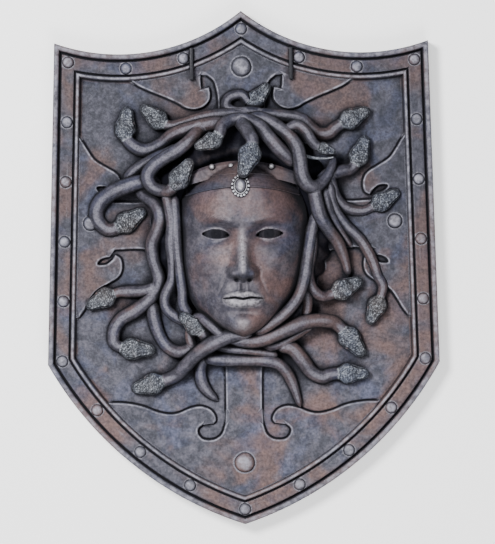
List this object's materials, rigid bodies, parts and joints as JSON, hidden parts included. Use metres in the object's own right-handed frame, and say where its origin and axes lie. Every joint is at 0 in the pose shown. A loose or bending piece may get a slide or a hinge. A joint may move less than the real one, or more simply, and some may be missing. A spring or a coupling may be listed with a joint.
{
  "type": "relief shield",
  "caption": "Wall shield with a pointed top and foot, a riveted border, a raised cross, and a snake-haired head in high relief.",
  "frame": {"origin": "middle of the flat back, under the middle of the shield", "axes": "+X to the viewer's right, +Y to the top point, +Z out of the face"},
  "size_m": [0.458, 0.6, 0.0991],
  "materials": {
    "aged_cast": "cast resin painted as aged metal: slate grey with copper-brown blotches, dark recesses and pale worn edges",
    "black_steel_left": "dull black, lightly scuffed",
    "black_steel_right": "dull black, lightly scuffed"
  },
  "bodies": {
    "root": {"cast_shield": "aged_cast", "hanger_staple_left": "black_steel_left", "hanger_staple_right": "black_steel_right"}
  },
  "joints": []
}
